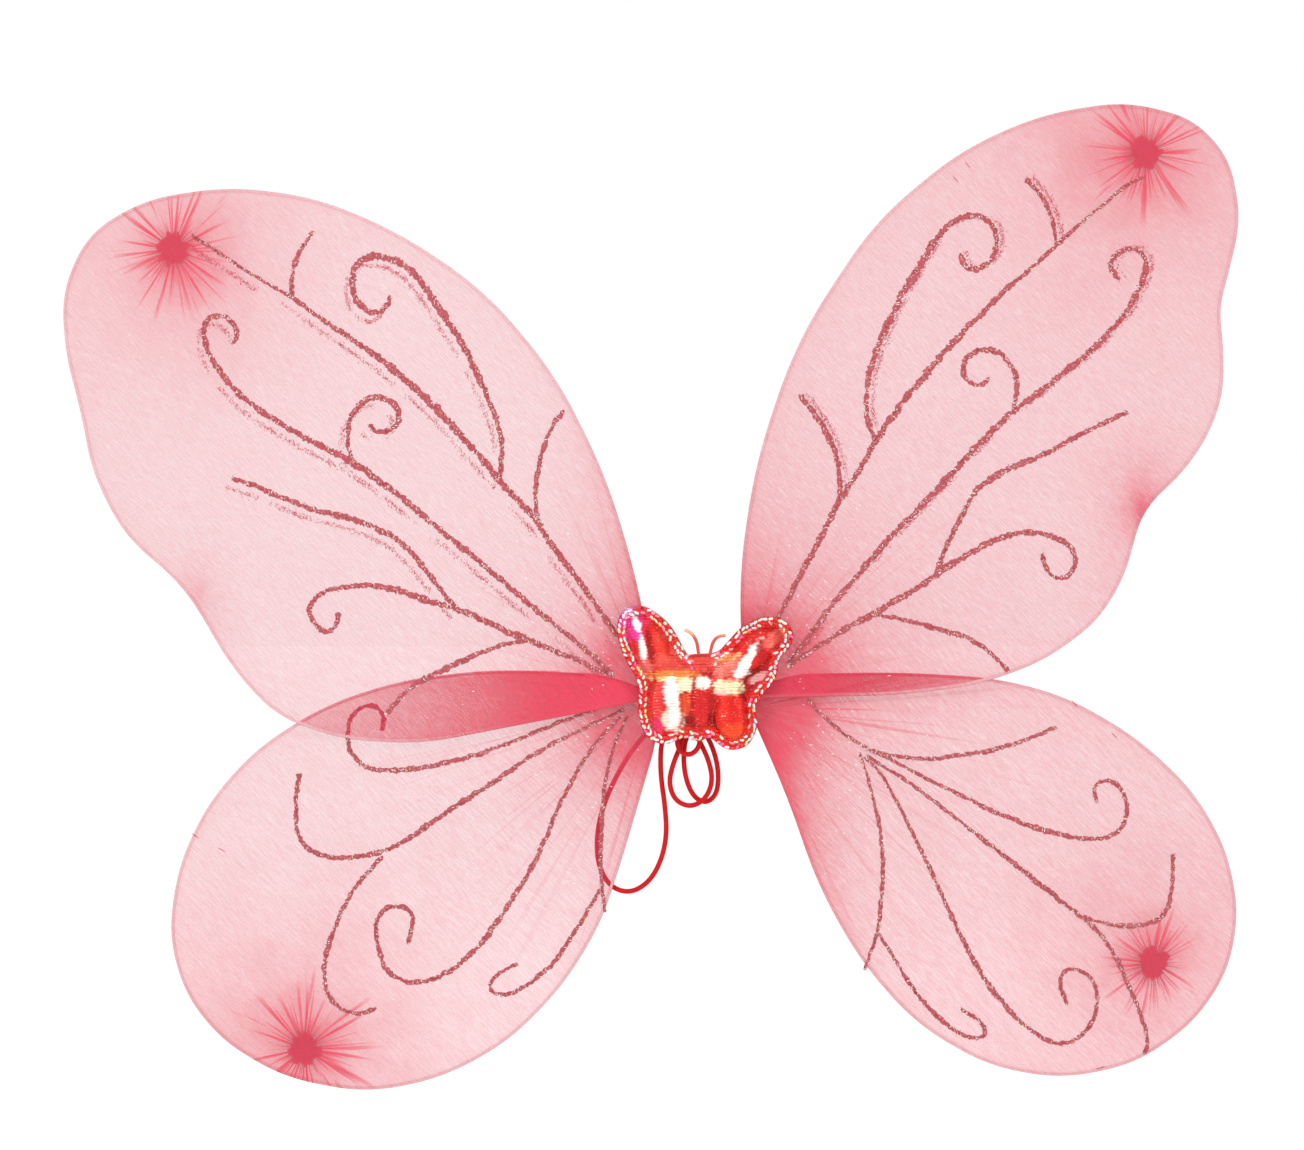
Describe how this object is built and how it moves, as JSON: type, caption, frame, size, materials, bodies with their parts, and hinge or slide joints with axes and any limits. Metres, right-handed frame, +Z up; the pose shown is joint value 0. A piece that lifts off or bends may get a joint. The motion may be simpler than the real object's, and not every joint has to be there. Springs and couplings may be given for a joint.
{
  "type": "fairy wings",
  "caption": "Costume fairy wings: nylon-covered wire loops that fold and swivel on a bound centre, with a padded butterfly and elastic arm loops.",
  "frame": {"origin": "middle of the back patch's rear face, which lies against the wearer's back", "axes": "+Z up as worn, +Y towards the wearer, +X to the right seen from the decorated front"},
  "size_m": [0.5861, 0.0238, 0.4924],
  "materials": {
    "wire": "thin galvanised wire",
    "nylon": "sheer pink knitted nylon",
    "gathered_nylon": "bunched crimson nylon",
    "thread": "wound thread",
    "tape": "crepe floral tape",
    "felt": "matte felt",
    "glue": "set hot-melt glue",
    "backing_fabric": "plain woven",
    "foil_fabric": "iridescent foil-printed, ribbed",
    "wadding": "soft wadding",
    "stitching": "iridescent metallic thread",
    "antenna_wire": "red lacquered wire",
    "elastic": "round braided elastic"
  },
  "bodies": {
    "centre": {"centre_binding": "tape", "back_patch": "felt", "glue_disc": "glue", "butterfly_backing": "backing_fabric", "butterfly_cover": "foil_fabric", "butterfly_filling": "wadding", "butterfly_stitching": "stitching", "left_antenna": "antenna_wire", "right_antenna": "antenna_wire", "right_strap": "elastic", "right_strap_knot": "elastic"},
    "left_root": {"left_root_wrap": "tape", "left_root_pin": "wire", "left_strap": "elastic", "left_strap_knot": "elastic"},
    "right_root": {"right_root_wrap": "tape", "right_root_pin": "wire"},
    "upper_left_wing": {"upper_left_wire": "wire", "upper_left_nylon": "nylon", "upper_left_root_gather": "gathered_nylon", "upper_left_root_thread": "thread", "upper_left_tip_tuft": "gathered_nylon", "upper_left_tip_thread": "thread"},
    "upper_right_wing": {"upper_right_wire": "wire", "upper_right_nylon": "nylon", "upper_right_root_gather": "gathered_nylon", "upper_right_root_thread": "thread", "upper_right_tip_tuft": "gathered_nylon", "upper_right_tip_thread": "thread"},
    "lower_left_wing": {"lower_left_wire": "wire", "lower_left_nylon": "nylon", "lower_left_root_gather": "gathered_nylon", "lower_left_root_thread": "thread", "lower_left_tip_tuft": "gathered_nylon", "lower_left_tip_thread": "thread"},
    "lower_right_wing": {"lower_right_wire": "wire", "lower_right_nylon": "nylon", "lower_right_root_gather": "gathered_nylon", "lower_right_root_thread": "thread", "lower_right_tip_tuft": "gathered_nylon", "lower_right_tip_thread": "thread"}
  },
  "joints": [
    {"name": "left_fold", "type": "hinge", "parent": "centre", "child": "left_root", "pos_m": [-0.012, -0.008, 0], "axis": [0, 0, -1], "range_deg": [-3, 62]},
    {"name": "right_fold", "type": "hinge", "parent": "centre", "child": "right_root", "pos_m": [0.012, -0.008, 0], "axis": [0, 0, 1], "range_deg": [-3, 62]},
    {"name": "upper_left_swivel", "type": "hinge", "parent": "left_root", "child": "upper_left_wing", "pos_m": [-0.022, -0.008, 0], "axis": [0, 1, 0], "range_deg": [-12, 12]},
    {"name": "upper_right_swivel", "type": "hinge", "parent": "right_root", "child": "upper_right_wing", "pos_m": [0.022, -0.008, 0], "axis": [0, 1, 0], "range_deg": [-12, 12]},
    {"name": "lower_left_swivel", "type": "hinge", "parent": "left_root", "child": "lower_left_wing", "pos_m": [-0.022, -0.008, 0], "axis": [0, 1, 0], "range_deg": [-12, 12]},
    {"name": "lower_right_swivel", "type": "hinge", "parent": "right_root", "child": "lower_right_wing", "pos_m": [0.022, -0.008, 0], "axis": [0, 1, 0], "range_deg": [-12, 12]}
  ]
}
